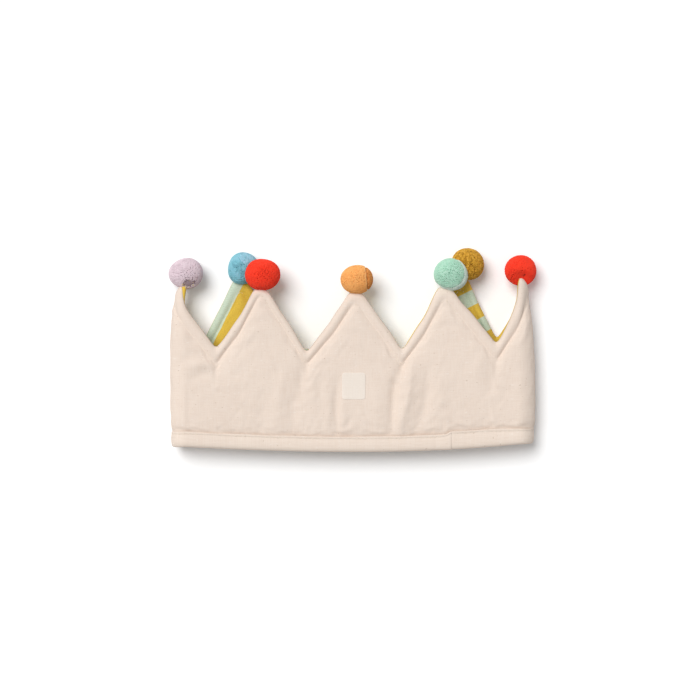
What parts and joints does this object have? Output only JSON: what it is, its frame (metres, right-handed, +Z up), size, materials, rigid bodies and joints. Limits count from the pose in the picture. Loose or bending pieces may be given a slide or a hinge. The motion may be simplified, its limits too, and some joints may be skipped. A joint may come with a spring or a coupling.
{
  "type": "padded fabric crown",
  "caption": "Soft padded canvas dress-up crown with zigzag peaks, striped lining, stitched hem and a pompom on each peak, lying flat.",
  "frame": {"origin": "middle of the box that holds the crown, on the table that it lies on", "axes": "+X across the crown to its wearer's left as seen from the front layer, +Y from the hem to the peaks, +Z up from the table"},
  "size_m": [0.264, 0.147, 0.0331],
  "materials": {
    "canvas": "unbleached cotton canvas, plain weave with small slubs and specks",
    "wadding": "loose polyester wadding, hidden between cover and lining",
    "striped_lining": "printed cotton, wide stripes of mustard and mint",
    "hem_canvas": "the same canvas, folded over the lower edge and stitched",
    "patch_cloth": "plain cotton patch, bare",
    "lavender_yarn": "short cut wool pile, pale lavender",
    "blue_yarn": "short cut wool pile, sky blue",
    "red_yarn": "short cut wool pile, warm red",
    "orange_yarn": "short cut wool pile, light orange",
    "mint_yarn": "short cut wool pile, mint green",
    "mustard_yarn": "short cut wool pile, mustard"
  },
  "bodies": {
    "root": {"cover": "canvas", "wadding": "wadding", "lining_left": "striped_lining", "lining_right": "striped_lining", "hem_band": "hem_canvas", "label_patch": "patch_cloth", "pompom_lavender": "lavender_yarn", "pompom_blue": "blue_yarn", "pompom_red_left": "red_yarn", "pompom_orange": "orange_yarn", "pompom_mint": "mint_yarn", "pompom_red_right": "red_yarn", "pompom_mustard": "mustard_yarn"}
  },
  "joints": []
}
